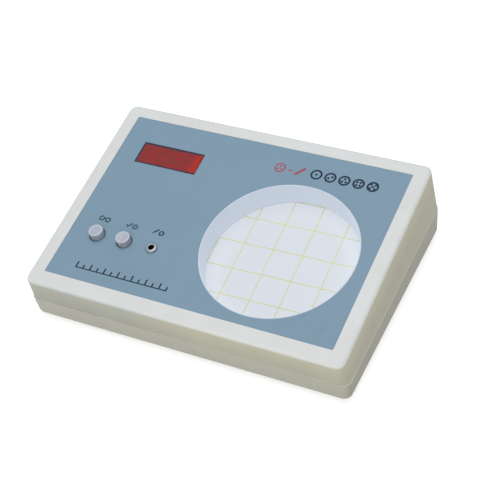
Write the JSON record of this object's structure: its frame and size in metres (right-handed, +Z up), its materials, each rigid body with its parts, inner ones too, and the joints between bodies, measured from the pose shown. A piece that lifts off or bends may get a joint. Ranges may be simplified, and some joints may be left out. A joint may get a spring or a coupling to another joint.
{
  "type": "colony counter",
  "caption": "Bench colony counter: sloping two-part housing with a round lit dish well, engraved grid, push buttons, probe socket and red display window.",
  "frame": {"origin": "middle of the whole part's width and depth, on the surface that the feet stand on", "axes": "+X to the right as seen from the front, +Y to the rear, +Z up"},
  "size_m": [0.2214, 0.1632, 0.0582],
  "materials": {
    "ivory_shell": "fine satin texture",
    "ivory_base": "fine satin texture",
    "panel_blue": "matt printed film",
    "window_red": "tinted, polished",
    "button_pale": "satin",
    "nickel": "plated",
    "opal": "translucent opal",
    "frosted": "frosted acrylic with engraved lines",
    "board_green": "lacquered laminate",
    "black_plastic": "satin",
    "steel": "zinc plated",
    "lamp_glass": "phosphor coated",
    "aluminium": "plain",
    "white_plastic": "satin",
    "lamination": "lacquered",
    "winding": "taped",
    "rubber_black": "matt",
    "brass_pin": "tinned",
    "sleeve_blue": "shrunk sleeve"
  },
  "bodies": {
    "housing": {"upper_shell": "ivory_shell", "lower_shell": "ivory_base", "front_panel": "panel_blue", "display_window": "window_red", "reset_spring": "steel", "check_spring": "steel", "push_switches": "black_plastic", "jack_nut": "nickel", "probe_jack": "black_plastic", "well_ring": "opal", "grid_plate": "frosted", "plate_screws": "steel", "digit_modules": "black_plastic", "control_board": "board_green", "board_chips": "black_plastic", "buzzer": "black_plastic", "board_screws": "steel", "lamp_tube": "lamp_glass", "lamp_caps": "aluminium", "lamp_holders": "white_plastic", "lamp_tray": "aluminium", "starter": "white_plastic", "starter_base": "white_plastic", "choke": "lamination", "transformer_core": "lamination", "transformer_coil": "winding", "supply_board": "board_green", "capacitors": "sleeve_blue", "heat_sink": "aluminium", "mains_inlet": "black_plastic", "inlet_pins": "brass_pin", "fuse_holder": "black_plastic", "switch_frame": "black_plastic", "rubber_feet": "rubber_black", "case_screws": "steel"},
    "reset_cap": {"reset_button": "button_pale"},
    "check_cap": {"check_button": "button_pale"},
    "rocker": {"power_rocker": "black_plastic"},
    "fuse_carrier": {"fuse_cap": "black_plastic", "fuse_link": "lamp_glass"}
  },
  "joints": [
    {"name": "reset_press", "type": "slide", "parent": "housing", "child": "reset_cap", "axis": [0, 0.1495, -0.9888], "range_m": [0, 0.0015], "stiffness_N_per_m": 400, "springref_m": -0.001, "deforming": ["reset_spring"]},
    {"name": "check_press", "type": "slide", "parent": "housing", "child": "check_cap", "axis": [0, 0.1495, -0.9888], "range_m": [0, 0.0015], "stiffness_N_per_m": 400, "springref_m": -0.001, "deforming": ["check_spring"]},
    {"name": "rocker_tilt", "type": "hinge", "parent": "housing", "child": "rocker", "pos_m": [-0.05, 0.06964, 0.03978], "axis": [1, 0, 0], "range_deg": [0, 24]},
    {"name": "fuse_turn", "type": "hinge", "parent": "housing", "child": "fuse_carrier", "pos_m": [-0.008, 0.07262, 0.04013], "axis": [0, 0.9933, 0.1159], "range_deg": [0, 90]}
  ]
}
